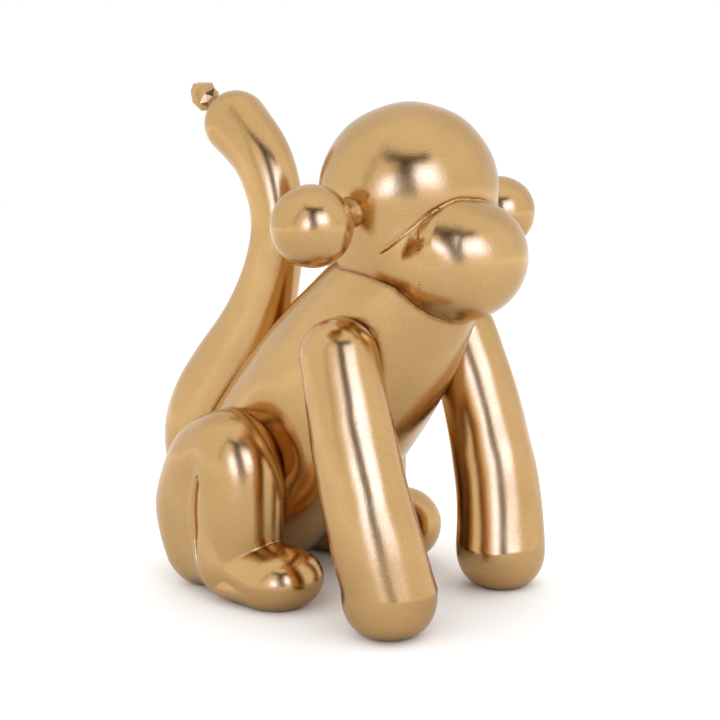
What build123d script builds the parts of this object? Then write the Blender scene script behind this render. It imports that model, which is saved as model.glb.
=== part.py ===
"""A monkey figurine in the manner of a balloon animal, cast bubble by bubble and pinned together.

Millimetres. +Z is up, the monkey faces -Y and its left side is +X. The origin is the middle of the
figure's box, on the surface that it stands on. Every bubble is made of balls strung along a line:
two neighbouring balls are joined by the cone that touches both, or by one long arc. Where two
bubbles meet, the smaller one is cut to the shape of the larger one and a steel pin joins them.
"""
from build123d import *
from math import atan2, cos, hypot, pi, radians, sin, sqrt
import os

# Torso: a straight balloon that leans forward from the seat to the neck
SEAT_R = 40.2
SEAT_SUNK = 0.5
NECK_R = 29.8
TORSO_RUN = 111.1
TORSO_RISE = 117.0
FLANK_R = 430.0

# Head: a ball between two smaller ones, so a little wider than it is high, that sits over the neck
HEAD_R = 39.4
HEAD_WIDEN = 4.2
HEAD_SIDE_LESS = 3.9
HEAD_BACK = 7.2
HEAD_RISE = 35.5

# Muzzle: a ball in front of the head that narrows backwards into two cheeks
MUZZLE_R = 28.5
MUZZLE_FORWARD = 28.3
MUZZLE_DROP = 32.3
CHEEK_R = 14.7
CHEEK_OUT = 23.8
CHEEK_BACK = 31.0
CHEEK_UP = 2.1

# Ears: balls on short necks at the sides of the head
EAR_R = 17.6
EAR_NECK = 8.7
EAR_NECK_R = 8.5
EAR_FORWARD = 1.6
EAR_DROP = 13.0

# Arms: balls from the shoulder to the palm, as shares of the reach, bow, shoulder height and radius
SHOULDER_BELOW = 35.1
SHOULDER_FORWARD = 15.4
SHOULDER_SINK = 8.8
ARM_REACH = 24.5
ARM_BOW = 4.0
ARM_R = 22.0
ARM_SHARES = (
    (0.00, 0.00, 1.00, 0.80),
    (0.596, 0.94, 0.547, 0.89),
    (0.938, -0.43, 0.166, 0.985),
)

# Legs: balls from the heel over the knee to the toe, as shares of the length, knee height and radius
HIP_OUT = 39.2
KNEE_OUT = 7.2
LEG_LENGTH = 60.5
KNEE_Z = 68.9
LEG_R = 21.2
THIGH_SHARES = (
    (0.02, 0.285, 1.014, 0.0),
    (-0.083, 0.568, 1.00, 0.0),
    (0.076, 0.810, 0.966, 0.22),
    (0.282, 1.000, 0.943, 0.5),
    (0.442, 0.993, 0.980, 0.78),
    (0.556, 0.863, 1.013, 1.0),
    (0.547, 0.307, 0.917, 1.0),
)
FOOT_SHARES = (
    (0.547, 0.307, 0.91, 1.0),
    (1.00, 0.270, 0.897, 0.9),
)

# Tail: balls from the rump to the tip, as shares of the backward reach, the tip's height and the radius
TAIL_REACH = 26.1
TAIL_RISE = 226.7
TAIL_R = 27.2
TAIL_SHARES = (
    (0.487, 0.138, 0.975),
    (1.00, 0.320, 1.00),
    (-0.193, 0.576, 0.642),
    (-0.718, 0.754, 0.494),
    (-0.517, 0.898, 0.526),
    (0.254, 1.000, 0.603),
)

# Knot at the tip of the tail: a waist and three rings of six corners
KNOT_TILT = 38.0
KNOT_ROOT = 2.0
KNOT_NECK = 4.6
KNOT_WAIST_R = 4.6
KNOT_BASE = 1.6
KNOT_BASE_R = 6.6
KNOT_BELLY = 4.2
KNOT_BELLY_R = 7.4
KNOT_TOP = 5.0
KNOT_TOP_R = 5.4
KNOT_SIDES = 6

# Hollow castings
WALL = 6.5
BOSS_WALL = 4.0
PLUG_R = 12.0
PLUG_LIP = 2.5
PLUG_SPIGOT_R = 9.5
PLUG_SPIGOT = 4.0
VENT_R = 3.5
VENT_BACK = 12.5

# Pins and their fits
NAPE_BELOW = 48.0
PIN_R = 3.0
PIN_HALF = 11.0
KNOT_PIN_R = 1.2
KNOT_PIN_HALF = 7.0
FIT = 0.05
PIN_END = 0.4
OVERRUN = 5.0

# Felt pads let into the soles
PAD_THICKNESS = 2.0
PAD_PROUD = 0.5
HAND_PAD_R = 11.0
HEEL_PAD_R = 7.0
TOE_PAD_R = 4.8
SEAT_GAP = 1.5

# Steps between two balls of a bent limb and from its end ball to the tip of its dome, and the share
# of a ball's radius with which the next link begins
STEPS = 3
DOME_STEPS = 5
DOME_TURN = 85.0
PALM_STRETCH = 1.16
NEST_SHARE = 0.99


def ball(centre, radius):
    """A ball."""
    return Pos(*centre) * Sphere(radius)


def rod(start, end, radius, more=0):
    """A round bar from start to end, lengthened by more at both ends."""
    a, b = Vector(*start), Vector(*end)
    along = (b - a).normalized()
    length = (b - a).length + more + more
    bar = Cylinder(radius, length, align=(Align.CENTER, Align.CENTER, Align.MIN))
    return Plane(origin=a - along * more, z_dir=along) * bar


def arc_points(middle, radius, first, last):
    """Start, middle and end of an arc between two angles round a point of the axis."""
    angles = (first, (first + last) / 2, last)
    return [(middle + radius * cos(a), radius * sin(a)) for a in angles]


def turned(edges, start, end):
    """The body that the edges enclose with the axis, turned round the line from start to end."""
    a, b = Vector(*start), Vector(*end)
    along = (b - a).normalized()
    body = revolve(make_face(edges), Axis.X)
    across = along.cross(Vector(1, 0, 0)) if abs(along.X) < cos(pi / 4) else along.cross(Vector(0, 1, 0))
    return Plane(origin=a, x_dir=along, z_dir=across) * body


def link(start, r_start, end, r_end):
    """Two balls joined by the cone that touches both."""
    length = (Vector(*end) - Vector(*start)).length
    slope = (r_end - r_start) / length
    touch = atan2(sqrt(1 - slope * slope), -slope)
    first = arc_points(0, r_start, pi, touch)
    last = arc_points(length, r_end, touch, 0)
    edges = [
        ThreePointArc(*first),
        Line(first[2], last[0]),
        ThreePointArc(*last),
        Line(last[2], first[0]),
    ]
    return turned(edges, start, end)


def bulge(length, r_start, r_end, flank):
    """Middle of the long arc that touches two balls on an axis: place along it and depth below it."""
    near, far = flank - r_start, flank - r_end
    along = (near * near - far * far + length * length) / (2 * length)
    return along, sqrt(near * near - along * along)


def balloon(start, r_start, end, r_end, flank):
    """Two balls joined by one long arc of the radius flank."""
    length = (Vector(*end) - Vector(*start)).length
    along, depth = bulge(length, r_start, r_end, flank)
    a = atan2(depth, -along)
    b = atan2(depth, length - along)
    first = arc_points(0, r_start, pi, a)
    last = arc_points(length, r_end, b, 0)
    crown = (along, flank - depth)
    edges = [
        ThreePointArc(*first),
        ThreePointArc(first[2], crown, last[0]),
        ThreePointArc(*last),
        Line(last[2], first[0]),
    ]
    return turned(edges, start, end)


def flow(balls, steps):
    """Balls on the smooth line through the given balls: cubic spans, whose slope at a ball is half
    the step from the ball before it to the ball after it."""
    def between(a, b, share):
        return tuple(p + (q - p) * share for p, q in zip(a, b))

    def minus(a, b):
        return tuple(p - q for p, q in zip(a, b))

    slopes = [between((0, 0, 0, 0), minus(c, a), 0.5) for a, c in zip(balls, balls[2:])]
    first = minus(balls[1], balls[0])
    last = minus(balls[-1], balls[-2])
    slopes.insert(0, between(slopes[0], first, 1.5))
    slopes.append(between(slopes[-1], last, 1.5))
    line = []
    for i, (a, b) in enumerate(zip(balls, balls[1:])):
        for k in range(steps):
            t = k / steps
            weights = (2*t**3 - 3*t**2 + 1, t**3 - 2*t**2 + t, 3*t**2 - 2*t**3, t**3 - t**2)
            parts = zip(a, slopes[i], b, slopes[i + 1])
            line.append(tuple(sum(w * v for w, v in zip(weights, four)) for four in parts))
    return line + [balls[-1]]


def string(balls):
    """The bubble made of balls (x, y, z, radius), each joined to the next one by a link that begins
    just inside the ball before it."""
    body = link(balls[0][:3], balls[0][3], balls[1][:3], balls[1][3])
    for a, b in zip(balls[1:], balls[2:]):
        body = body + link(a[:3], a[3] * NEST_SHARE, b[:3], b[3])
    return body


def tube(balls, steps, stretch=1):
    """The smooth bubble round the line through the balls: rings square to the line, and at both ends
    rings of a dome of the end ball's radius, the last one drawn out by stretch."""
    line = flow(balls, steps)
    before, after = line[:1] + line[:-1], line[1:] + line[-1:]
    ways = [(Vector(*b[:3]) - Vector(*a[:3])).normalized() for a, b in zip(before, after)]
    turns = [radians(DOME_TURN) * (k + 1) / DOME_STEPS for k in range(DOME_STEPS)]

    def ring(ball_at, way, turn, out=1):
        centre = Vector(*ball_at[:3]) + way * (ball_at[3] * sin(turn) * out)
        return Plane(origin=centre, x_dir=Vector(1, 0, 0), z_dir=way) * Circle(ball_at[3] * cos(turn))

    start = [ring(line[0], ways[0], -turn) for turn in reversed(turns)]
    middle = [ring(each, way, 0) for each, way in zip(line, ways)]
    end = [ring(line[-1], ways[-1], turn, stretch) for turn in turns]
    return loft(start + middle + end)


def other_side(point):
    """The same place on the monkey's other side."""
    return (-point[0],) + tuple(point[1:])


def mirrored(body):
    """The same body on the monkey's other side."""
    return mirror(body, about=Plane.YZ)


def toward(start, end, distance):
    """The place at a distance from start on the way to end."""
    a, b = Vector(*start), Vector(*end)
    return tuple(a + (b - a).normalized() * distance)


def pin_ends(start, end, seat, half):
    """Ends of a pin on the line from start to end, centred on the seat at that distance from start."""
    return toward(start, end, seat - half), toward(start, end, seat + half)


# Places of the torso, in a frame whose Y zero is the seat
seat = (0, 0, SEAT_R - SEAT_SUNK)
neck = (0, -TORSO_RUN, seat[2] + TORSO_RISE)
torso_length = hypot(TORSO_RUN, TORSO_RISE)
lean_y = -TORSO_RUN / torso_length
lean_z = TORSO_RISE / torso_length
flank_along, flank_depth = bulge(torso_length, SEAT_R, NECK_R, FLANK_R)


def torso_radius(along):
    """Radius of the torso at a distance from the seat along its axis."""
    return sqrt(FLANK_R ** 2 - (along - flank_along) ** 2) - flank_depth


def torso_axis(below):
    """The place on the torso's axis at a distance below the neck's ball."""
    return toward(neck, seat, below)


# Places of the head, the muzzle and the ears
head = (0, neck[1] + HEAD_BACK, neck[2] + HEAD_RISE)
muzzle = (0, head[1] - MUZZLE_FORWARD, head[2] - MUZZLE_DROP)
ear_level = sqrt(1 - (EAR_FORWARD ** 2 + EAR_DROP ** 2) / HEAD_R ** 2)
head_half = HEAD_R + HEAD_WIDEN
ear_x = head_half * ear_level + EAR_NECK + EAR_R
ear = (ear_x, head[1] - EAR_FORWARD, head[2] - EAR_DROP)

# Places of an arm: the shoulder ball is sunk into the side of the torso
shoulder_axis = torso_axis(SHOULDER_BELOW)
shoulder_seat = torso_radius(torso_length - SHOULDER_BELOW)
shoulder_off = shoulder_seat + ARM_R * ARM_SHARES[0][3] - SHOULDER_SINK
shoulder_x = sqrt(shoulder_off ** 2 - SHOULDER_FORWARD ** 2)
shoulder_y = shoulder_axis[1] - lean_z * SHOULDER_FORWARD
shoulder_z = shoulder_axis[2] + lean_y * SHOULDER_FORWARD
arm_balls = [
    (shoulder_x + bow * ARM_BOW, shoulder_y - reach * ARM_REACH, height * shoulder_z, r * ARM_R)
    for reach, bow, height, r in ARM_SHARES
]


def leg_balls(shares):
    """Balls of a leg or a foot."""
    return [
        (HIP_OUT + out * KNEE_OUT, -ahead * LEG_LENGTH, up * KNEE_Z, r * LEG_R)
        for ahead, up, r, out in shares
    ]


thigh_balls = leg_balls(THIGH_SHARES)
foot_balls = leg_balls(FOOT_SHARES)
tail_balls = [(0, back * TAIL_REACH, up * TAIL_RISE, r * TAIL_R) for back, up, r in TAIL_SHARES]
tip = tail_balls[-1]


def head_form(less=0):
    """The head, drawn in all round by less: its ball with a smaller one at each side."""
    side = (HEAD_WIDEN + HEAD_SIDE_LESS, head[1], head[2], HEAD_R - HEAD_SIDE_LESS - less)
    return string([other_side(side), head + (HEAD_R - less,), side])


def muzzle_form():
    """The muzzle: the front ball with a link to each cheek."""
    cheek = (CHEEK_OUT, muzzle[1] + CHEEK_BACK, muzzle[2] + CHEEK_UP, CHEEK_R)
    return string([other_side(cheek), muzzle + (MUZZLE_R,), cheek])


def knot_form():
    """The knot: a waist and three rings of corners, on the line that leaves the tip at its tilt."""
    rise = radians(KNOT_TILT)
    along = Vector(0, cos(rise), sin(rise))
    at = Plane(origin=Vector(*tip[:3]) + along * tip[3], x_dir=Vector(1, 0, 0), z_dir=along)
    base = KNOT_NECK + KNOT_BASE
    rings = (
        (-KNOT_ROOT, KNOT_WAIST_R),
        (KNOT_NECK, KNOT_WAIST_R),
        (base, KNOT_BASE_R),
        (base + KNOT_BELLY, KNOT_BELLY_R),
        (base + KNOT_BELLY + KNOT_TOP, KNOT_TOP_R),
    )
    faces = [at.offset(up) * RegularPolygon(r, KNOT_SIDES) for up, r in rings]
    return loft(faces, ruled=True)


def under(height):
    """Everything below a height, as one block as large as the figure."""
    size = TAIL_RISE + TAIL_RISE
    return Pos(0, 0, height) * Box(size, size, size, align=(Align.CENTER, Align.CENTER, Align.MAX))


def pad(x, y, radius, more=0):
    """A felt disc on the floor, or with more the recess for it."""
    disc = Cylinder(radius + more, PAD_THICKNESS + more, align=(Align.CENTER, Align.CENTER, Align.MIN))
    return Pos(x, y, 0) * disc


# Pins, each as its two ends
neck_pin = pin_ends(head, torso_axis(NAPE_BELOW), HEAD_R, PIN_HALF)
muzzle_pin = pin_ends(head, muzzle, HEAD_R, PIN_HALF)
ear_pin = pin_ends(head, ear, head_half, PIN_HALF + EAR_NECK / 2)
shoulder_pin = pin_ends(shoulder_axis, arm_balls[0][:3], shoulder_seat, PIN_HALF)
hip = (HIP_OUT, 0, seat[2])
hip_pin = pin_ends(seat, hip, SEAT_R, PIN_HALF)
tail_pin = pin_ends(seat, tail_balls[1][:3], SEAT_R, PIN_HALF)
ankle_pin = pin_ends(foot_balls[0][:3], foot_balls[1][:3], foot_balls[0][3], PIN_HALF)
knot_side = (0, tip[1] + cos(radians(KNOT_TILT)), tip[2] + sin(radians(KNOT_TILT)))
knot_pin = pin_ends(tip[:3], knot_side, tip[3] + KNOT_NECK, KNOT_PIN_HALF)


def both(ends):
    """A pin's ends on the left and on the right."""
    return [ends, tuple(other_side(end) for end in ends)]


def pins(places, radius=PIN_R):
    """The pins at some places, as separate solids."""
    return [rod(a, b, radius) for a, b in places]


def bores(places, radius=PIN_R):
    """The holes for the pins at some places."""
    return [rod(a, b, radius + FIT, PIN_END) for a, b in places]


def bosses(places):
    """The lumps on the inner wall of a hollow casting that hold its pins."""
    return [rod(a, b, PIN_R + BOSS_WALL, BOSS_WALL) for a, b in places]


def hollowed(form, room, places):
    """A casting with a cavity, whose bosses keep the pins' holes closed."""
    for boss in bosses(places):
        room = room - boss
    return form - room


def without(body, others):
    """A body cut by others, one after the other."""
    for other in others:
        body = body - other
    return body


def build_head():
    """The hollow head, with a vent to the neck behind the pin."""
    places = [neck_pin, muzzle_pin] + both(ear_pin)
    body = hollowed(head_form(), head_form(WALL), places)
    vent = rod(*[(0, y + VENT_BACK, z) for _, y, z in neck_pin], VENT_R, OVERRUN)
    return without(body, bores(places) + [vent])


def build_torso():
    """The hollow torso, cut to the head and the muzzle, with a stepped hole in the flat of its seat."""
    places = [neck_pin, tail_pin] + both(shoulder_pin) + both(hip_pin)
    body = balloon(seat, SEAT_R, neck, NECK_R, FLANK_R)
    room = balloon(seat, SEAT_R - WALL, neck, NECK_R - WALL, FLANK_R - WALL)
    body = body - head_form() - muzzle_form()
    body = hollowed(body, room - head_form(-WALL), places)
    lip = rod((0, 0, 0), (0, 0, SEAT_GAP + PLUG_LIP), PLUG_R + FIT)
    hole = rod((0, 0, 0), seat, PLUG_SPIGOT_R + FIT)
    return without(body, bores(places) + [under(SEAT_GAP), lip, hole])


def build_plug():
    """The stopper of the torso's hole: a lip flush with the seat and a spigot."""
    low = (0, 0, SEAT_GAP)
    middle = (0, 0, SEAT_GAP + PLUG_LIP)
    top = (0, 0, SEAT_GAP + PLUG_LIP + PLUG_SPIGOT)
    return rod(low, middle, PLUG_R) + rod(middle, top, PLUG_SPIGOT_R)


def build_muzzle():
    """The muzzle, cut to the head."""
    return without(muzzle_form(), [head_form()] + bores([muzzle_pin]))


def build_ear():
    """The left ear with its neck, cut to the head."""
    body = ball(ear, EAR_R) + rod(ear, head, EAR_NECK_R)
    return without(body, [head_form()] + bores([ear_pin]))


def build_arm(torso_form):
    """The left arm, cut to the torso and flat under the palm."""
    palm = arm_balls[-1]
    recess = pad(palm[0], palm[1], HAND_PAD_R, FIT)
    body = without(tube(arm_balls, STEPS, PALM_STRETCH), [torso_form, under(PAD_PROUD), recess])
    return without(body, bores([shoulder_pin]))


def build_leg(torso_form):
    """The left leg, cut to the torso and flat under the haunch."""
    heel = thigh_balls[0]
    recess = pad(heel[0], heel[1], HEEL_PAD_R, FIT)
    body = without(string(thigh_balls), [torso_form, under(PAD_PROUD), recess])
    return without(body, bores([hip_pin, ankle_pin]))


def build_foot(leg_form):
    """The left foot, cut to the shin and flat under the toes."""
    toe = foot_balls[-1]
    recess = pad(toe[0], toe[1], TOE_PAD_R, FIT)
    return without(string(foot_balls), [leg_form, under(PAD_PROUD), recess] + bores([ankle_pin]))


def build_tail(torso_form, leg_form):
    """The tail, cut to the torso and the legs."""
    others = [torso_form, leg_form, mirrored(leg_form)]
    places = bores([tail_pin]) + bores([knot_pin], KNOT_PIN_R)
    return without(tube(tail_balls, STEPS), others + places)


def build_knot(tail_form):
    """The knot, seated on the tip of the tail."""
    return without(knot_form(), [tail_form] + bores([knot_pin], KNOT_PIN_R))


def build():
    """All nodes: name to a list of solids."""
    torso_form = balloon(seat, SEAT_R, neck, NECK_R, FLANK_R)
    leg_form = string(thigh_balls)
    tail_form = tube(tail_balls, STEPS)
    arm = build_arm(torso_form)
    leg = build_leg(torso_form)
    foot = build_foot(leg_form)
    ear_left = build_ear()
    palm, heel, toe = arm_balls[-1], thigh_balls[0], foot_balls[-1]
    hand_pad = pad(palm[0], palm[1], HAND_PAD_R)
    heel_pad = pad(heel[0], heel[1], HEEL_PAD_R)
    toe_pad = pad(toe[0], toe[1], TOE_PAD_R)
    return {
        "torso": [build_torso()],
        "fill_plug": [build_plug()],
        "head": [build_head()],
        "muzzle": [build_muzzle()],
        "ear_left": [ear_left],
        "ear_right": [mirrored(ear_left)],
        "arm_left": [arm],
        "arm_right": [mirrored(arm)],
        "leg_left": [leg],
        "leg_right": [mirrored(leg)],
        "foot_left": [foot],
        "foot_right": [mirrored(foot)],
        "tail": [build_tail(torso_form, leg_form)],
        "tail_knot": [build_knot(tail_form)],
        "neck_pin": pins([neck_pin]),
        "muzzle_pin": pins([muzzle_pin]),
        "ear_pins": pins(both(ear_pin)),
        "shoulder_pins": pins(both(shoulder_pin)),
        "hip_pins": pins(both(hip_pin)),
        "ankle_pins": pins(both(ankle_pin)),
        "tail_pin": pins([tail_pin]),
        "knot_pin": pins([knot_pin], KNOT_PIN_R),
        "hand_pads": [hand_pad, mirrored(hand_pad)],
        "heel_pads": [heel_pad, mirrored(heel_pad)],
        "toe_pads": [toe_pad, mirrored(toe_pad)],
    }


nodes = build()
boxes = [solid.bounding_box() for solids in nodes.values() for solid in solids]
front = min(box.min.Y for box in boxes)
back = max(box.max.Y for box in boxes)
to_middle = Pos(0, -(front + back) / 2, 0)
os.makedirs("parts", exist_ok=True)
for name, solids in nodes.items():
    placed = [to_middle * solid for solid in solids]
    export_step(placed[0] if len(placed) == 1 else Compound(children=placed), f"parts/{name}.step")
print("box", round(back - front, 2), "long,", round(2 * ear_x + 2 * EAR_R, 2), "wide,")
print(round(max(box.max.Z for box in boxes), 2), "high; moved by", round(-(front + back) / 2, 3))
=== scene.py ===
"""Looks of the monkey figurine: satin gold bubbles, each the skin of a string of balls.

The figurine's lengths are millimetres until a mesh is made. The frame and the studio are in metres.
"""
import bpy
import numpy as np
from math import cos, radians, sin
from mathutils import Matrix, Vector


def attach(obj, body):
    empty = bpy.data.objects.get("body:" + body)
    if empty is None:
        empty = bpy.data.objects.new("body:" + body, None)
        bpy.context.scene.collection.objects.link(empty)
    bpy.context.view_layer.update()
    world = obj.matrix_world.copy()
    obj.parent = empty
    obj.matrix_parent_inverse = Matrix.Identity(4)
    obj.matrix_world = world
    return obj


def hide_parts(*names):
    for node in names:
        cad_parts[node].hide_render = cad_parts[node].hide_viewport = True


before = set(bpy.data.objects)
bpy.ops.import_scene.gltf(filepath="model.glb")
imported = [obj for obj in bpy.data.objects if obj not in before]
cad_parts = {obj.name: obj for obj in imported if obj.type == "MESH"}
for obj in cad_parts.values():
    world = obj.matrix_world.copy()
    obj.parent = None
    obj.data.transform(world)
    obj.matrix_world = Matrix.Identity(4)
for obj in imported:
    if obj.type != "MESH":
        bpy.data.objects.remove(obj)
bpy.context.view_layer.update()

FINENESS = 1.0
STEP = 0.9 / FINENESS
END_ROWS = 44
TORSO_COLUMNS = 300
ARM_COLUMNS = 220
TAIL_COLUMNS = 200
FACE_GRID = (400, 220)
EAR_GRID = (160, 150)
LEG_GRID = (420, 220)
FOOT_GRID = (320, 180)

# Search: the step between a bubble's balls, how many places are measured at once, and how often a ray
# is halved
BALL_STEP = 1.8
BATCH = 8000
HALVINGS = 15

# Torso: x, y, z and radius of its end balls, the radius of the long arc over them, what is added to its
# middle, and the share by which it gives way beside the knees, about a y and a z, over a width in each
SEAT = (0, 53.13, 39.69, 40.2)
NECK = (0, -57.95, 156.7, 29.8)
FLANK = 430.0
BELLY_SWELL = (0, -1.8, -1.7, 1.3)
DENT = 0.24
DENT_Y = 8
DENT_Y_WIDTH = 18
DENT_Z = 68
DENT_Z_WIDTH = 22

# Head: middle, radius, half its width, and the radius of the balls at its sides
HEAD = (0, -50.77, 192.2)
HEAD_R = 39.4
HEAD_HALF = 43.6
HEAD_SIDE = 35.5
FACE_REACH = 62

# Muzzle: the ball in front and the share by which it is pressed flat, the ball in each cheek, the power
# by which one becomes the other, and the way from the front ball to where the surface's rays start
MUZZLE = (0, -75.85, 161.76)
MUZZLE_R = 32.54
MUZZLE_PRESS = 0.887
MUZZLE_KNOTS = 81
CHEEK = (18.64, -38.0, 162.43)
CHEEK_R = 9.64
CHEEK_POWER = 1.185
MUZZLE_BACK = (0, 14, 0)

# Crease above the muzzle: the muzzle's rise on the right at each y and its sinking on the left about a y,
# with the x and z over which they come and go, and the groove, with the y and z over which it does
RISE_Y = (-104, -96, -90, -87, -84, -80, -75, -66, -55)
RISE = (0, 0.5, 1.8, 2.4, 2.2, 1.3, 0.5, -0.1, 0)
RISE_X = (2, 14)
SINK = 1.2
SINK_Y = -88
SINK_WIDTH = 6
SINK_X = (-4, 8)
BROW_Z = (160, 174)
GROOVE = 0.9
GROOVE_WIDTH = 0.9
GROOVE_Y = (-70, -58)
GROOVE_Z = (159, 165)

# Rounding between two bubbles: the least, and what is added where they flow into each other, which is
# from a y to another y, and under a z over a height
JAW_LEAST = 0.6
ANKLE_LEAST = 0.8
FLOWING = 18
JAW_Y = (-84, -58)
JAW_TOP = 160
JAW_FADE = 14
ANKLE_Y = (11, 25)
ANKLE_TOP = 15
ANKLE_FADE = 9

# Ears: middle and radius of the ball, radius and length of its neck, where the neck comes out of the ball
# and where it flares, the rounding between them, the shares of the rows and of the arc for the ball, and
# how near to the ball's pole the radius is 0
EAR = (67.42, -52.36, 179.2)
EAR_R = 17.6
EAR_NECK_R = 6.0
EAR_NECK_LENGTH = 17
EAR_NECK_START = (8, 15)
EAR_FLARE = 0.03
EAR_FLARE_START = 20
EAR_ROUND = 3.0
BALL_ROWS = 0.72
BALL_ARC = 0.87
EAR_POLE = 0.02

# Arms: shoulder, middle and palm, the palm's squareness, and the length over which it turns down
FAR_ARM = [(44.4, -44.9, 120.6, 17.6), (48.2, -59.5, 65.9, 19.6), (42.7, -67.9, 20.0, 21.5)]
ARM = [(42.6, -43.2, 120.6, 17.6), (48.2, -59.5, 65.9, 19.6), (46.9, -72.3, 20.0, 21.2)]
PALM_SQUARE = 2.5
PALM_TURN = 34

# Leg: from the seat over the knee to the ankle, what fills the valley between thigh and shin, and the
# rounding there
LEG = [(39.2, 51.93, 19.64, 21.5), (39.2, 58.15, 39.1, 21.2), (41.0, 47.5, 60.5, 20.6),
       (43.4, 34.5, 68.8, 20.1), (45.4, 22.9, 68.6, 20.9), (46.0, 19.6, 55.0, 21.0),
       (46.4, 20.0, 21.15, 19.44)]
FILLING = [(43.0, 36.5, 58.0, 18.0), (43.6, 38.0, 38.0, 18.6), (43.2, 37.0, 18.0, 14.5)]
VALLEY_ROUND = 9.0
LEG_MIDDLE = (43.0, 37.5, 42.0)
LEG_REACH = 70

# Fold between thigh and shin: its y at each z, the depth and width of its line and of its slopes, and the
# x and the height over which it comes and goes
FOLD_Z = (2, 6, 12.5, 20, 29, 43, 52, 58)
FOLD_Y = (23.5, 26.5, 29.8, 32.8, 34.6, 34.2, 32.6, 30.2)
FOLD_LINE = (3.2, 1.2)
FOLD_SLOPES = (0.8, 3.0)
FOLD_X = (36, 47)
FOLD_TOP = 61
FOLD_FADE = 4

# Feet: from the ankle to the toe, and the height about which the near one is pressed flat by a share
FOOT = [(46.4, 15.5, 17.5, 18.8), (45.7, -4.0, 13.0, 20.7)]
FOOT_PRESS = (13.0, 0.75)
FAR_FOOT = [(46.4, 19.5, 20.0, 19.4), (45.7, -5.0, 19.6, 19.2)]
FOOT_MIDDLE = (46.0, 7.0, 15.0)
FOOT_REACH = 60

# Tail: from its root to its tip
TAIL = [(0, 68.0, 31.3, 28.0), (0, 81.3, 72.54, 28.8), (0, 48.3, 130.6, 17.6),
        (0, 34.4, 170.9, 13.44), (0, 39.65, 203.6, 14.31), (0, 59.77, 226.7, 16.4)]

# Knot: the slope of the tail's end line, the way from the last ball to where the rings count from, the
# rings as places on that line and radii, their corners, the turn of the first and of every other ring, and
# by how much a corner is wider and shifted
TIP_SLOPE = radians(34)
KNOT_AWAY = 15.6
KNOT_RINGS = [(-2.5, 0.1), (-2.5, 3.6), (4.6, 3.9), (7.6, 6.7), (13.2, 7.0), (18.4, 4.5), (18.0, 0.1)]
KNOT_CORNERS = 7
KNOT_START = 0.3
KNOT_TWIST = 0.45
KNOT_WIDER = (0.86, 1.1)
KNOT_SHIFT = 0.5

# Casting: how a blended skin dips under its neighbour and where it ends, the lowest metal above the shelf,
# the waves of hand finishing, and the width of the painted shade along a crease
DIP = 1.2
DIP_RANGE = (0.1, 3.2)
DIP_END = 4
SOLE = 0.5
WAVES = 14
WAVE_LENGTH = (18, 60)
WAVE_HEIGHT = 0.16
WAVE_SPREAD = 2.6
CREASE_SHADE_WIDTH = 0.9

# Colours of the gold: its leaf where it is dark and pale, its pits, and the brown of the painted shade in
# its creases
DARK_LEAF = (0.60, 0.372, 0.155, 1)
PALE_LEAF = (0.665, 0.42, 0.181, 1)
PIT_BROWN = (0.36, 0.18, 0.06, 1)
# Painted shade: the dark brown that the leaf is mixed towards along creases
CREASE_SHADE_BROWN = (0.20, 0.085, 0.02, 1)

# Floor: radius, corners, white for the camera, and the grey for other rays near the middle and far away
FLOOR_R = 9
FLOOR_CORNERS = 96
FLOOR_WHITE = (0.97, 0.97, 0.97)
FLOOR_GREY = (0.66, 0.92)
FLOOR_GREY_AWAY = (0.2, 2.5)

# Panels: how far the lamps, the dark gaps and the rear scrim stand, the height they stand round, and the
# cells along each side
LAMP_FAR = 1.6
GAP_FAR = 1.4
SCRIM_FAR = 2.2
PANEL_MIDDLE = 0.15
PANEL_CELLS = 40

# World: the strength of its light on dull surfaces, which only the floor and the felt have
FILL_LIGHT = 1.4

# Camera: the azimuth, elevation, distance and roll from which it looks at a place, its focal length and
# the picture's middle in pixels, the picture's side in pixels and the sensor's in millimetres
CAMERA_AZ = radians(-47.4438)
CAMERA_EL = radians(8.27799)
CAMERA_ROLL = radians(-1.8177)
CAMERA_FAR = 0.66809
CAMERA_AIM = (-0.006482, -0.003210, 0.107286)
FOCAL = 1385.07
MIDDLE_X = 328.248
MIDDLE_Y = 369.090
PICTURE = 720
SENSOR = 36

X = np.array([1.0, 0, 0])
Z = np.array([0, 0, 1.0])


# Curves and lines

def quick_count(number):
    return int(number * FINENESS)


def unit(v):
    """Vectors made one long."""
    return v / np.maximum(np.linalg.norm(v, axis=-1, keepdims=True), 1e-9)


def ramp(x, low, high):
    """Smooth step from 0 to 1 between two values: three squares less two cubes of the share between."""
    share = np.clip((x - low) / (high - low), 0, 1)
    return share * share * (3 - 2 * share)


def under(x, top, fade):
    """Smooth step from 0 at the value top to 1 where x is less by fade."""
    return ramp(top - x, 0, fade)


def bell(off, width):
    """Bell curve: 1 in the middle, and one part in e where off is the width."""
    return np.exp(-(off / width)**2)


def circle(count):
    """Angles of a whole turn, without the last one that repeats the first."""
    return np.arange(count) / count * 2 * np.pi


def flow(knots, count=40):
    """Smooth line through the knots: cubic spans whose slope at a knot is half the step from the knot
    before it to the one after it. Two knots make a straight line."""
    p = np.array(knots, float)
    if len(p) == 2:
        t = np.linspace(0, 1, count)[:, None]
        return p[0] * (1 - t) + p[1] * t
    slope = np.empty_like(p)
    slope[1:-1] = (p[2:] - p[:-2]) / 2
    slope[0] = (p[1] - p[0]) * 1.5 - slope[1] / 2
    slope[-1] = (p[-1] - p[-2]) * 1.5 - slope[-2] / 2
    t = np.linspace(0, 1, count, endpoint=False)[:, None]
    start = 2*t**3 - 3*t**2 + 1
    start_slope = t**3 - 2*t**2 + t
    end = 3*t**2 - 2*t**3
    end_slope = t**3 - t**2
    spans = [start * p[i] + start_slope * slope[i] + end * p[i+1] + end_slope * slope[i+1]
             for i in range(len(p) - 1)]
    return np.concatenate(spans + [p[-1:]])


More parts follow.
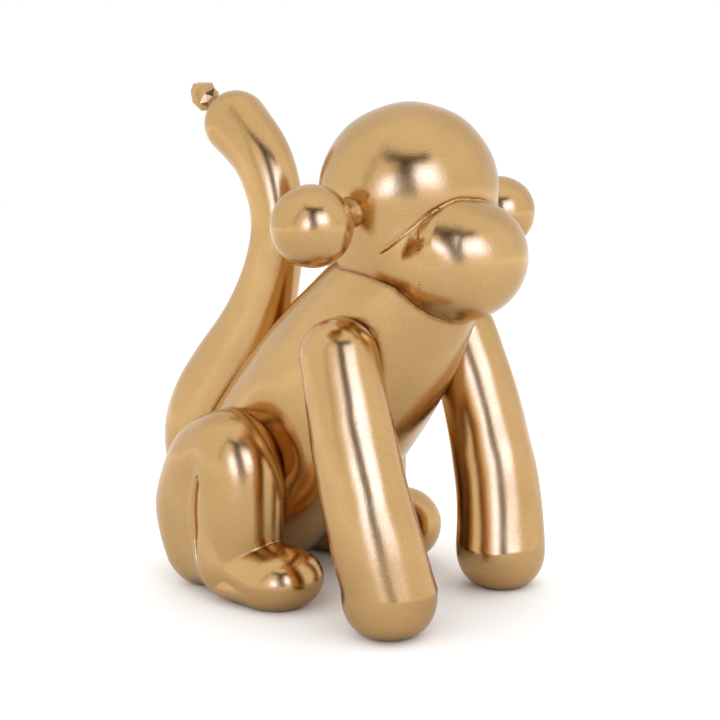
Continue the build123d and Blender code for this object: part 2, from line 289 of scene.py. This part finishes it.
def bow(knots, count=80):
    """Parabola through three knots, the middle one halfway."""
    a, b, c = np.array(knots, float)
    t = np.linspace(0, 1, count)[:, None]
    return a * (1 - t) * (1 - 2 * t) + b * 4 * t * (1 - t) + c * t * (2 * t - 1)


def barrel(a, b, flank, count=90):
    """Balls inside one long arc of the radius flank that touches the balls a and b: at a distance along
    the axis the radius is flank less the way to the arc's middle."""
    a = np.array(a, float)
    b = np.array(b, float)
    length = np.linalg.norm(b[:3] - a[:3])
    near = flank - a[3]
    far = flank - b[3]
    arc_along = (near**2 - far**2 + length**2) / (2 * length)
    arc_aside = np.sqrt(near**2 - arc_along**2)
    along = np.linspace(0, length, count)
    line = a[:3] + (b[:3] - a[:3]) * (along / length)[:, None]
    return np.column_stack([line, flank - np.hypot(along - arc_along, arc_aside)])


def even(line, step):
    """The same line with stations at equal steps."""
    way = np.r_[0, np.cumsum(np.linalg.norm(np.diff(line[:, :3], axis=0), axis=1))]
    stations = np.linspace(0, way[-1], max(6, int(way[-1] / step) + 1))
    return np.column_stack([np.interp(stations, way, values) for values in line.T])


# Bubbles: their depths, which are negative inside, and their skins

class Bubble:
    """A string of balls. Its press is a height and the share by which it is flattened about it."""

    def __init__(self, line, press=None):
        self.line = line
        self.press = press
        self.balls = even(line, BALL_STEP)

    def unpressed(self, p):
        """Places in the string's own space, where its balls are round."""
        if self.press is None:
            return p
        height, share = self.press
        q = p.copy()
        q[:, 2] = height + (p[:, 2] - height) / share
        return q

    def depth(self, p):
        """How far each place is outside the nearest ball, also between two balls: the least value of the
        parabola through the nearest ball's depth and its neighbours'."""
        q = self.unpressed(p)
        c = self.balls[:, :3]
        r = self.balls[:, 3]
        out = np.empty(len(p))
        for first in range(0, len(q), BATCH):
            part = q[first:first + BATCH]
            square = (part**2).sum(1)[:, None] + (c**2).sum(1) - 2 * part @ c.T
            far = np.sqrt(np.maximum(square, 0)) - r
            best = np.clip(far.argmin(1), 1, len(r) - 2)
            row = np.arange(len(part))
            before = far[row, best - 1]
            nearest = far[row, best]
            after = far[row, best + 1]
            bend = np.maximum(before - 2 * nearest + after, 1e-9)
            between = nearest - (after - before)**2 / (8 * bend)
            out[first:first + BATCH] = np.where(np.abs(after - before) < bend, between, far.min(1))
        return out

    def skin(self, columns, square=2.0, aim=None):
        """Envelope of the balls: from each ball the ring that touches its neighbours, tilted by the
        radius's slope, and at both ends the rings of the rest of the ball up to a pole. The last end is
        the curve across^square + along^square = 1, so that 2 is round and more is squarer. It turns to
        the direction aim over the last PALM_TURN of the line."""
        end_rows = quick_count(END_ROWS)
        line = even(self.line, STEP)
        c = line[:, :3]
        r = line[:, 3]
        station = np.arange(len(c))
        run = np.gradient(c, axis=0)
        pace = np.linalg.norm(run, axis=1)
        ahead = run / pace[:, None]
        if aim is not None:
            near = under((len(c) - 1 - station) * STEP, PALM_TURN, PALM_TURN)[:, None]
            ahead = unit(ahead + near * (aim - ahead))
        side = unit(X - (ahead @ X)[:, None] * ahead)
        up = np.cross(ahead, side)
        tilt = np.arcsin(np.clip(-np.gradient(r) / pace, -0.97, 0.97))
        first = np.linspace(-np.pi / 2, tilt[0], end_rows + 1)[:-1]
        last = np.linspace(tilt[-1], np.pi / 2, end_rows + 1)[1:]
        pick = np.r_[np.zeros(end_rows, int), station, np.full(end_rows, len(c) - 1)]
        lean = np.r_[first, tilt, last][:, None, None]
        turn = circle(quick_count(columns))[None, :, None]
        ring = np.cos(turn) * side[pick][:, None] + np.sin(turn) * up[pick][:, None]
        at_last = (np.arange(len(pick)) >= len(pick) - end_rows)[:, None, None]
        power = np.where(at_last & (lean > 0), 2 / square, 1.0)
        along = np.sign(np.sin(lean)) * np.abs(np.sin(lean))**power
        across = np.abs(np.cos(lean))**power
        return c[pick][:, None] + r[pick][:, None, None] * (along * ahead[pick][:, None] + across * ring)


def soft_least(a, b, blend):
    """The smaller of two depths, rounded where they differ by less than the blend: less a quarter of the
    blend times the square of the share that is left of it."""
    blend = np.maximum(blend, 1e-6)
    left = np.maximum(blend - np.abs(a - b), 0) / blend
    return np.minimum(a, b) - left * left * blend / 4


def star(centre, depth, grid, reach, axis=2):
    """Surface round a centre: on the ray of each pair of angles, azimuth and height, the place where the
    depth turns from inside to outside, found by halving the ray again and again. The poles lie on the
    given axis."""
    columns, rows = grid
    turn = circle(quick_count(columns))
    rise = np.linspace(-np.pi / 2, np.pi / 2, quick_count(rows))[:, None]
    way = np.stack([np.cos(rise) * np.cos(turn), np.cos(rise) * np.sin(turn), np.sin(rise) + 0 * turn], -1)
    way = np.roll(way, axis - 2, axis=-1)
    rays = way.reshape(-1, 3)
    low = np.zeros(len(rays))
    high = np.full(len(rays), float(reach))
    for _ in range(HALVINGS):
        middle = (low + high) / 2
        inside = depth(centre + rays * middle[:, None]) < 0
        low = np.where(inside, middle, low)
        high = np.where(inside, high, middle)
    return (centre + rays * ((low + high) / 2)[:, None]).reshape(way.shape)


def share_of(own, rest, whole):
    """Depth of one bubble of a blended pair: the blend's skin on its own side of the line where both
    depths are equal, dipping slowly under the neighbour past it and ending DIP_END beyond."""

    def depth(p):
        past = own(p) - rest(p)
        return np.maximum(whole(p) + DIP * ramp(past, *DIP_RANGE), past - DIP_END)

    return depth


def other_side(p):
    """The same places on the other side."""
    return p * np.array([-1, 1, 1])


def both_sides(depth):
    """A left piece's depth for places on both sides: right ones are measured at their mirror image."""

    def mirrored(p):
        return depth(np.column_stack([np.abs(p[:, 0]), p[:, 1], p[:, 2]]))

    return mirrored


# Strings of the figurine

def torso_line():
    """The barrel from the seat to the neck, moved and widened by a sine wave with its top in the middle."""
    belly = barrel(SEAT, NECK, FLANK)
    swell = np.sin(np.linspace(0, np.pi, len(belly)))[:, None]
    return belly + swell * np.array(BELLY_SWELL)


def muzzle_line():
    """A bent string from cheek to cheek: at the share across, from -1 to 1, the ball in front becomes the
    ball in the cheek by that share to the power CHEEK_POWER."""
    across = np.linspace(-1, 1, MUZZLE_KNOTS)
    share = (np.abs(across)**CHEEK_POWER)[:, None]
    front = np.array(MUZZLE + (MUZZLE_R,))
    rear = np.array((0,) + CHEEK[1:] + (CHEEK_R,))
    line = front * (1 - share) + rear * share
    line[:, 0] = CHEEK[0] * across
    return line


torso = Bubble(torso_line())
muzzle = Bubble(muzzle_line(), (MUZZLE[2], MUZZLE_PRESS))
arm = Bubble(bow(ARM))
far_arm = Bubble(bow(FAR_ARM))
leg = Bubble(flow(LEG))
filling = Bubble(flow(FILLING))
foot = Bubble(flow(FOOT), FOOT_PRESS)
far_foot = Bubble(flow(FAR_FOOT))
tail = Bubble(flow(TAIL))


# Pieces of the figurine

def torso_skin():
    """The torso: its envelope, made narrower beside the knees by a bell curve of y and one of z."""
    skin = torso.skin(TORSO_COLUMNS)
    dent = bell(skin[..., 1] - DENT_Y, DENT_Y_WIDTH) * bell(skin[..., 2] - DENT_Z, DENT_Z_WIDTH)
    skin[..., 0] *= 1 - DENT * dent
    return skin


def head_depth(p):
    """Depth of the head: a long arc across the ears' line between two side balls."""
    out = HEAD_HALF - HEAD_SIDE
    flank = (HEAD_R**2 - HEAD_SIDE**2 + out**2) / (2 * (HEAD_R - HEAD_SIDE))
    sunk = flank - HEAD_R
    q = p - np.array(HEAD)
    x = np.abs(q[:, 0])
    away = np.hypot(q[:, 1], q[:, 2])
    arc = np.hypot(x, away + sunk) - flank
    side = np.hypot(x - out, away) - HEAD_SIDE
    return np.where(x * sunk > out * (away + sunk), side, arc)


def muzzle_depth(p):
    """Depth of the muzzle: its balls, raised on the right and sunk on the left under the crease."""
    right = ramp(-p[:, 0], *RISE_X) * np.interp(p[:, 1], RISE_Y, RISE)
    left = SINK * ramp(p[:, 0], *SINK_X) * bell(p[:, 1] - SINK_Y, SINK_WIDTH)
    return muzzle.depth(p) - (right - left) * ramp(p[:, 2], *BROW_Z)


def face_depth(p):
    """Depth of head and muzzle in one skin: sharp in front, soft on the cheeks and under the jaw, with a
    narrow groove where both depths are equal that ends on the cheeks."""
    head = head_depth(p)
    chin = muzzle_depth(p)
    soft = np.maximum(ramp(p[:, 1], *JAW_Y), under(p[:, 2], JAW_TOP, JAW_FADE))
    groove = bell(head - chin, GROOVE_WIDTH) * (1 - ramp(p[:, 1], *GROOVE_Y)) * ramp(p[:, 2], *GROOVE_Z)
    return soft_least(head, chin, JAW_LEAST + FLOWING * soft) + GROOVE * groove


def head_skin():
    """The head: its share of the face, on rays from its middle."""
    own = share_of(head_depth, muzzle_depth, face_depth)
    return star(np.array(HEAD), own, FACE_GRID, FACE_REACH, axis=0)


def muzzle_skin():
    """The muzzle: its share of the face, on rays from behind the ball in front."""
    own = share_of(muzzle_depth, head_depth, face_depth)
    return star(np.array(MUZZLE) + np.array(MUZZLE_BACK), own, FACE_GRID, FACE_REACH, axis=0)


def ear_skin():
    """The left ear: a round form turned about the line to the head's middle. Its radius at a distance d
    from the ball's middle is the ball's, or the neck's where that is more, with a soft change."""
    columns, rows = EAR_GRID
    inward = unit(np.array(HEAD) - np.array(EAR))
    side = unit(np.cross(inward, Z))
    up = np.cross(inward, side)
    share = np.linspace(0, 1, quick_count(rows))
    on_ball = -EAR_R * np.cos(share / BALL_ROWS * np.pi * BALL_ARC)
    ball_end = -EAR_R * np.cos(np.pi * BALL_ARC)
    on_neck = ball_end + (share - BALL_ROWS) / (1 - BALL_ROWS) * EAR_NECK_LENGTH
    d = np.where(share < BALL_ROWS, on_ball, on_neck)
    ball = np.sqrt(np.maximum(EAR_R**2 - d**2, 0))
    neck = EAR_NECK_R * ramp(d, *EAR_NECK_START) + EAR_FLARE * np.maximum(d - EAR_FLARE_START, 0)**2
    radius = -soft_least(-ball, -neck, EAR_ROUND) * (d > EAR_POLE - EAR_R)
    radius[[0, -1]] = 0
    turn = circle(quick_count(columns))[:, None]
    ring = np.cos(turn) * side + np.sin(turn) * up
    return np.array(EAR) + d[:, None, None] * inward + radius[:, None, None] * ring


def arm_skin(bubble):
    """A left arm: its envelope, with a square palm that turns down."""
    return bubble.skin(ARM_COLUMNS, PALM_SQUARE, -Z)


def fold_depth(p):
    """Depth of the fold between thigh and shin on the outside: a narrow bell curve across its line on a
    wide one."""
    off = p[:, 1] - np.interp(p[:, 2], FOLD_Z, FOLD_Y)
    outside = ramp(p[:, 0], *FOLD_X) * under(p[:, 2], FOLD_TOP, FOLD_FADE)
    return outside * sum(depth * bell(off, width) for depth, width in (FOLD_LINE, FOLD_SLOPES))


def leg_depth(p):
    """Depth of the left leg: the bent bubble with the valley between thigh and shin filled."""
    return soft_least(leg.depth(p), filling.depth(p), VALLEY_ROUND) + fold_depth(p)


def limb_depth(toe):
    """Depth of leg and foot in one skin: sharp in front of the ankle, flowing behind and under it."""

    def depth(p):
        soft = np.maximum(ramp(p[:, 1], *ANKLE_Y), under(p[:, 2], ANKLE_TOP, ANKLE_FADE))
        return soft_least(leg_depth(p), toe.depth(p), ANKLE_LEAST + FLOWING * soft)

    return depth


def leg_skin(toe):
    """A left leg: its share of the limb with this foot, on rays from its middle."""
    own = share_of(leg_depth, toe.depth, limb_depth(toe))
    return star(np.array(LEG_MIDDLE), own, LEG_GRID, LEG_REACH)


def foot_skin(toe):
    """A left foot: its share of the limb, on rays from its middle."""
    own = share_of(toe.depth, leg_depth, limb_depth(toe))
    return star(np.array(FOOT_MIDDLE), own, FOOT_GRID, FOOT_REACH)


def knot_skin():
    """The knot: rings of corners about the tail's end line, each corner moved a little."""
    draw = np.random.default_rng(5)
    tip = np.array([0, cos(TIP_SLOPE), sin(TIP_SLOPE)])
    base = np.array(TAIL[-1][:3]) + KNOT_AWAY * tip
    up = np.cross(X, tip)
    rows = []
    for k, (d, r) in enumerate(KNOT_RINGS):
        turn = (circle(KNOT_CORNERS) + KNOT_TWIST * (k % 2) + KNOT_START)[:, None]
        in_knot = 1 < k < len(KNOT_RINGS) - 1
        wide = r * draw.uniform(*KNOT_WIDER, KNOT_CORNERS) if r > 1 else np.full(KNOT_CORNERS, r)
        shift = draw.uniform(-KNOT_SHIFT, KNOT_SHIFT, KNOT_CORNERS) if in_knot else np.zeros(KNOT_CORNERS)
        ring = np.cos(turn) * X + np.sin(turn) * up
        rows.append(base + (d + shift)[:, None] * tip + wide[:, None] * ring)
    return np.array(rows)


def knot_shade_marks(grid):
    """Painted shade in the knot's creases: round its waist, and at two corners of its tip."""
    shade_marks = np.zeros(grid.shape[:2])
    shade_marks[2] = 0.8
    shade_marks[5, :2] = 1.0
    return shade_marks


def waves(p):
    """Slight waves of a hand-finished casting: a sum of sines in fixed directions."""
    out = np.zeros(p.shape[:-1])
    draw = np.random.default_rng(11)
    for _ in range(WAVES):
        k = unit(draw.normal(size=3)) * 2 * np.pi / draw.uniform(*WAVE_LENGTH)
        out += np.sin(p @ k + draw.uniform(0, 6.28))
    return out * WAVE_HEIGHT / WAVE_SPREAD


def crease_shade_marks(p, neighbours):
    """Strength of the painted shade in creases: 1 where a skin meets a neighbour, fading away from it by a
    bell curve, and 0 without neighbours.
    """
    if not neighbours:
        return np.zeros(p.shape[:2])
    q = p.reshape(-1, 3)
    near = np.min([np.abs(depth(q)) for depth in neighbours], axis=0)
    return bell(near, CREASE_SHADE_WIDTH).reshape(p.shape[:2])


# Meshes

def grid_faces(rows, columns):
    """Quads of a grid that closes round itself, and fans to a pole at both ends."""
    i, j = np.meshgrid(np.arange(rows - 1), np.arange(columns), indexing="ij")
    a = i * columns + j
    b = i * columns + (j + 1) % columns
    quads = np.stack([a, b, b + columns, a + columns], -1).reshape(-1, 4)
    j = np.arange(columns)
    after = (j + 1) % columns
    first_pole = np.full(columns, rows * columns)
    top = (rows - 1) * columns
    low = np.stack([first_pole, after, j], -1)
    high = np.stack([first_pole + 1, top + j, top + after], -1)
    return quads, np.concatenate([low, high])


def mesh(name, grid, shade_marks, smooth=True):
    """A gold object from a grid in millimetres whose first and last rows are poles, with the strength of
    its painted crease shade for each place."""
    body = grid[1:-1]
    poles = np.stack([grid[0].mean(0), grid[-1].mean(0)])
    verts = np.concatenate([body.reshape(-1, 3), poles]) / 1000
    quads, fans = grid_faces(*body.shape[:2])
    tri = np.concatenate([quads[:, :3], quads[:, [0, 2, 3]], fans])
    v = verts - verts.mean(0)
    if np.einsum("ij,ij->", v[tri[:, 0]], np.cross(v[tri[:, 1]], v[tri[:, 2]])) < 0:
        quads = quads[:, ::-1]
        fans = fans[:, ::-1]
    data = bpy.data.meshes.new(name)
    data.vertices.add(len(verts))
    data.vertices.foreach_set("co", verts.ravel())
    loops = np.concatenate([quads.ravel(), fans.ravel()])
    data.loops.add(len(loops))
    data.loops.foreach_set("vertex_index", loops.astype(np.int32))
    sizes = np.r_[np.full(len(quads), 4), np.full(len(fans), 3)]
    data.polygons.add(len(sizes))
    data.polygons.foreach_set("loop_start", np.r_[0, np.cumsum(sizes)[:-1]].astype(np.int32))
    data.polygons.foreach_set("loop_total", sizes.astype(np.int32))
    data.polygons.foreach_set("use_smooth", np.full(len(sizes), smooth))
    data.update(calc_edges=True)
    data.validate()
    values = np.r_[shade_marks[1:-1].ravel(), shade_marks[0].mean(), shade_marks[-1].mean()].astype(np.float32)
    # Painted crease shade, one value a point, for the gold to darken by
    data.attributes.new("crease_shade", "FLOAT", "POINT").data.foreach_set("value", values)
    data.materials.append(GOLD)
    obj = bpy.data.objects.new(name, data)
    bpy.context.scene.collection.objects.link(obj)
    return obj


def casting(name, obj):
    """Puts a casting's object in the frame in its node's place."""
    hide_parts(name)
    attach(obj, "root")


def finish(name, grid, neighbours):
    """Makes a casting from its grid, with waves, a flat sole and painted shade marked along its creases."""
    grid = grid + unit(grid - grid.mean((0, 1))) * waves(grid)[..., None]
    grid[..., 2] = np.maximum(grid[..., 2], SOLE)
    casting(name, mesh(name + "_skin", grid, crease_shade_marks(grid, neighbours)))


# Shader nodes

def node(tree, kind, **values):
    """A shader node with its properties and sockets set."""
    made = tree.nodes.new(kind)
    for key, value in values.items():
        if hasattr(made, key):
            setattr(made, key, value)
        else:
            made.inputs[key.replace("_", " ")].default_value = value
    return made


def feed(tree, socket, value):
    """Sets a socket to a number or a colour, or links another node's output to it."""
    if isinstance(value, (int, float, tuple)):
        socket.default_value = value
    else:
        tree.links.new(value, socket)


def noise(tree, place, scale, detail, rough=0.55):
    """Cloudy values over the piece's own coordinates."""
    made = node(tree, "ShaderNodeTexNoise", Scale=scale, Detail=detail, Roughness=rough)
    tree.links.new(place, made.inputs["Vector"])
    return made.outputs["Fac"]


def shaped(tree, value, source, target):
    """A value moved from one range to another and held inside it."""
    made = node(tree, "ShaderNodeMapRange", From_Min=source[0], From_Max=source[1],
                To_Min=target[0], To_Max=target[1])
    tree.links.new(value, made.inputs["Value"])
    return made.outputs["Result"]


def mixed(tree, share, first, second):
    """Two colours mixed by the share of the second."""
    made = node(tree, "ShaderNodeMix", data_type="RGBA")
    feed(tree, made.inputs[0], share)
    feed(tree, made.inputs[6], first)
    feed(tree, made.inputs[7], second)
    return made.outputs[2]


def joined(tree, operation, first, second):
    """Two values joined by one operation."""
    made = node(tree, "ShaderNodeMath", operation=operation)
    feed(tree, made.inputs[0], first)
    feed(tree, made.inputs[1], second)
    return made.outputs[0]


def blank(name):
    """A new material with its node tree and its main shader."""
    made = bpy.data.materials.new(name)
    made.use_nodes = True
    return made, made.node_tree, made.node_tree.nodes["Principled BSDF"]


# Materials of the figurine

def antique_gold():
    """Satin gold leaf: a mottled tan metal with fine grain and small pits, with painted shade darkening its
    creases.
    """
    made, tree, shader = blank("antique_gold")
    shader.inputs["Metallic"].default_value = 1.0
    place = node(tree, "ShaderNodeTexCoord").outputs["Object"]
    clouds = shaped(tree, noise(tree, place, scale=28, detail=3), (0.35, 0.65), (0, 1))
    tone = mixed(tree, clouds, DARK_LEAF, PALE_LEAF)
    pits = shaped(tree, noise(tree, place, scale=1500, detail=2), (0.56, 0.68), (0, 0.35))
    tone = mixed(tree, pits, tone, PIT_BROWN)
    # Painted shade: where pieces meet, and in the knot's dents, the leaf is mixed towards dark brown in
    # patches
    crease_shade = node(tree, "ShaderNodeAttribute", attribute_name="crease_shade").outputs["Fac"]
    shade_patches = shaped(tree, noise(tree, place, scale=260, detail=3), (0.3, 0.7), (0.5, 1.0))
    tone = mixed(tree, joined(tree, "MULTIPLY", crease_shade, shade_patches), tone, CREASE_SHADE_BROWN)
    tree.links.new(tone, shader.inputs["Base Color"])
    rough = shaped(tree, noise(tree, place, scale=60, detail=4), (0.3, 0.7), (0.14, 0.20))
    tree.links.new(rough, shader.inputs["Roughness"])
    grain = joined(tree, "MULTIPLY", noise(tree, place, scale=1700, detail=2, rough=0.6), 0.55)
    ripple = joined(tree, "MULTIPLY", noise(tree, place, scale=240, detail=2, rough=0.5), 0.5)
    bump = node(tree, "ShaderNodeBump", Strength=0.10, Distance=0.001)
    tree.links.new(joined(tree, "ADD", grain, ripple), bump.inputs["Height"])
    tree.links.new(bump.outputs["Normal"], shader.inputs["Normal"])
    return made


def brown_felt():
    """Dull dark felt."""
    made, _, shader = blank("brown_felt")
    shader.inputs["Base Color"].default_value = (0.03, 0.022, 0.016, 1)
    shader.inputs["Roughness"].default_value = 1.0
    return made


GOLD = antique_gold()
FELT = brown_felt()


# The figurine, piece by piece
finish("torso", torso_skin(), [face_depth, both_sides(arm.depth), both_sides(leg_depth), tail.depth])
finish("head", head_skin(), [torso.depth])
finish("muzzle", muzzle_skin(), [torso.depth])
left_ear = ear_skin()
finish("ear_left", left_ear, [head_depth])
finish("ear_right", other_side(left_ear), [head_depth])
finish("arm_left", arm_skin(far_arm), [torso.depth])
finish("arm_right", other_side(arm_skin(arm)), [torso.depth])
finish("leg_left", leg_skin(far_foot), [torso.depth, tail.depth])
finish("foot_left", foot_skin(far_foot), [])
finish("leg_right", other_side(leg_skin(foot)), [torso.depth, tail.depth])
finish("foot_right", other_side(foot_skin(foot)), [])
finish("tail", tail.skin(TAIL_COLUMNS), [torso.depth, both_sides(leg_depth)])
knot_grid = knot_skin()
casting("tail_knot", mesh("tail_knot_skin", knot_grid, knot_shade_marks(knot_grid), smooth=False))

for name in ("hand_pads", "heel_pads", "toe_pads"):
    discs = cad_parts[name]
    discs.data.materials.clear()
    discs.data.materials.append(FELT)


# Studio: a round floor, the camera, panels that only the gold sees, and a white world

def stage_object(name, data, paint, only_in_gold=False):
    """An object of the studio, which can be left to the gold's reflections."""
    data.materials.append(paint)
    obj = bpy.data.objects.new(name, data)
    obj.visible_camera = not only_in_gold
    obj.visible_diffuse = not only_in_gold
    obj.visible_shadow = not only_in_gold
    bpy.context.scene.collection.objects.link(obj)


def floor_paint():
    """White for the camera, and for other rays a grey that pales away from the figurine."""
    made, tree, shader = blank("floor_paint")
    shader.inputs["Roughness"].default_value = 0.9
    camera_ray = node(tree, "ShaderNodeLightPath").outputs["Is Camera Ray"]
    away = node(tree, "ShaderNodeVectorMath", operation="LENGTH")
    tree.links.new(node(tree, "ShaderNodeTexCoord").outputs["Object"], away.inputs[0])
    grey = shaped(tree, away.outputs["Value"], FLOOR_GREY_AWAY, FLOOR_GREY)
    tree.links.new(mixed(tree, camera_ray, grey, FLOOR_WHITE + (1,)), shader.inputs["Base Color"])
    return made


def floor():
    """One flat face with its corners on a circle."""
    turn = np.linspace(0, 2 * np.pi, FLOOR_CORNERS, endpoint=False)
    corners = [(FLOOR_R * cos(angle), FLOOR_R * sin(angle), 0) for angle in turn]
    data = bpy.data.meshes.new("floor")
    data.from_pydata(corners, [], [tuple(range(FLOOR_CORNERS))])
    stage_object("floor", data, floor_paint())


def camera_place():
    """The camera's axes, rolled about its line of sight, and its place."""
    back = Vector((sin(CAMERA_AZ) * cos(CAMERA_EL), -cos(CAMERA_AZ) * cos(CAMERA_EL), sin(CAMERA_EL)))
    level = Vector((cos(CAMERA_AZ), sin(CAMERA_AZ), 0))
    upright = back.cross(level)
    right = level * cos(CAMERA_ROLL) + upright * sin(CAMERA_ROLL)
    up = upright * cos(CAMERA_ROLL) - level * sin(CAMERA_ROLL)
    spot = Vector(CAMERA_AIM) + back * CAMERA_FAR
    return Matrix([*zip(right, up, back, spot), (0, 0, 0, 1)])


def camera():
    """The photo's camera: its place, its lens and the shift of its middle from the picture's."""
    made = bpy.data.objects.new("camera", bpy.data.cameras.new("camera"))
    bpy.context.scene.collection.objects.link(made)
    made.matrix_world = camera_place()
    made.data.sensor_width = SENSOR
    made.data.lens = FOCAL * SENSOR / PICTURE
    made.data.shift_x = (PICTURE / 2 - MIDDLE_X) / PICTURE
    made.data.shift_y = (MIDDLE_Y - PICTURE / 2) / PICTURE
    made.data.clip_start = 0.01
    made.data.clip_end = 50
    bpy.context.scene.camera = made


def panel_paint(name, colour, strength):
    """Light of one colour that fades out where the attribute cover does."""
    made, tree, shader = blank(name)
    tree.nodes.remove(shader)
    light = node(tree, "ShaderNodeEmission", Color=colour + (1,), Strength=strength)
    clear = node(tree, "ShaderNodeBsdfTransparent")
    cover = node(tree, "ShaderNodeAttribute", attribute_name="cover")
    mix = node(tree, "ShaderNodeMixShader")
    tree.links.new(cover.outputs["Fac"], mix.inputs[0])
    tree.links.new(clear.outputs[0], mix.inputs[1])
    tree.links.new(light.outputs[0], mix.inputs[2])
    tree.links.new(mix.outputs[0], tree.nodes["Material Output"].inputs["Surface"])
    return made


def within(value, limits, soft):
    """1 between two limits, falling smoothly to 0 over a margin with its middle on each."""
    low, high = limits
    return ramp(value, low - soft / 2, low + soft / 2) * ramp(-value, -high - soft / 2, -high + soft / 2)


def panel(name, paint, az, el, soft, cover=1.0, far=LAMP_FAR, lean=0.0, tilt=0.0, fade=(1.0, 1.0)):
    """A curved panel round the figure between two azimuths and two elevations, seen only in the gold. Its
    cover falls off over the soft margins, one for the azimuth and one for the elevation, and runs from
    fade's first value below to its second above. Lean moves the azimuth by a share of the elevation, and
    tilt the elevation by a share of the azimuth."""
    across = np.linspace(az[0] - soft[0] / 2, az[1] + soft[0] / 2, PANEL_CELLS + 1)
    upward = np.linspace(el[0] - soft[1] / 2, el[1] + soft[1] / 2, PANEL_CELLS + 1)
    a, e = np.meshgrid(across, upward)
    level = fade[0] + (fade[1] - fade[0]) * (e - el[0]) / (el[1] - el[0])
    mark = cover * within(a, az, soft[0]) * within(e, el, soft[1]) * np.clip(level, 0, 1)
    turn = np.radians(a + lean * (e - el[0]))
    rise = np.radians(e + tilt * (a - (az[0] + az[1]) / 2))
    x = far * np.sin(turn) * np.cos(rise)
    y = -far * np.cos(turn) * np.cos(rise)
    z = far * np.sin(rise) + PANEL_MIDDLE
    row = PANEL_CELLS + 1
    i, j = np.meshgrid(np.arange(PANEL_CELLS), np.arange(PANEL_CELLS), indexing="ij")
    k = (i * row + j).ravel()
    faces = np.stack([k, k + 1, k + row + 1, k + row], 1)
    data = bpy.data.meshes.new(name)
    data.from_pydata(np.stack([x, y, z], -1).reshape(-1, 3).tolist(), [], faces.tolist())
    attribute = data.attributes.new("cover", "FLOAT", "POINT")
    attribute.data.foreach_set("value", mark.ravel().astype(np.float32))
    stage_object(name, data, paint, only_in_gold=True)


def white_world():
    """White at strength 1 for camera, glossy and transmitted rays, and at FILL_LIGHT for the others."""
    world = bpy.data.worlds.new("studio")
    bpy.context.scene.world = world
    world.use_nodes = True
    tree = world.node_tree
    rays = node(tree, "ShaderNodeLightPath").outputs
    seen = joined(tree, "MAXIMUM", rays["Is Camera Ray"], rays["Is Glossy Ray"])
    seen = joined(tree, "MAXIMUM", seen, rays["Is Transmission Ray"])
    background = tree.nodes["Background"]
    background.inputs["Color"].default_value = (1, 1, 1, 1)
    tree.links.new(shaped(tree, seen, (0, 1), (FILL_LIGHT, 1)), background.inputs["Strength"])


floor()
camera()

# The lamps' light is blue, because the gold turns it cream
softbox = panel_paint("softbox_light", (0.40, 0.50, 1.0), 6.6)
gap = panel_paint("dark_gap", (0.05, 0.045, 0.04), 1.0)
scrim = panel_paint("rear_scrim", (0.8, 0.8, 0.8), 1.0)
panel("rear_scrim", scrim, az=(60, 190), el=(5, 70), soft=(40, 40), cover=0.8, far=SCRIM_FAR)
panel("softbox_left", softbox, az=(-69, -50), el=(-4, 20), soft=(20, 24))
panel("softbox_right", softbox, az=(-34, 0), el=(8, 30), soft=(18, 24))
panel("gap_between", gap, az=(-54, -33), el=(-14, 46), soft=(6, 4), far=GAP_FAR, fade=(0.6, 0.98))
panel("gap_above", gap, az=(-73, -6), el=(40.5, 52), soft=(8, 4), cover=0.95, far=GAP_FAR, tilt=-0.14)
panel("softbox_frame", gap, az=(-97, -91), el=(8, 66), soft=(5, 10), cover=0.5, far=GAP_FAR, lean=0.28)

white_world()
bpy.context.scene.view_settings.view_transform = "Standard"
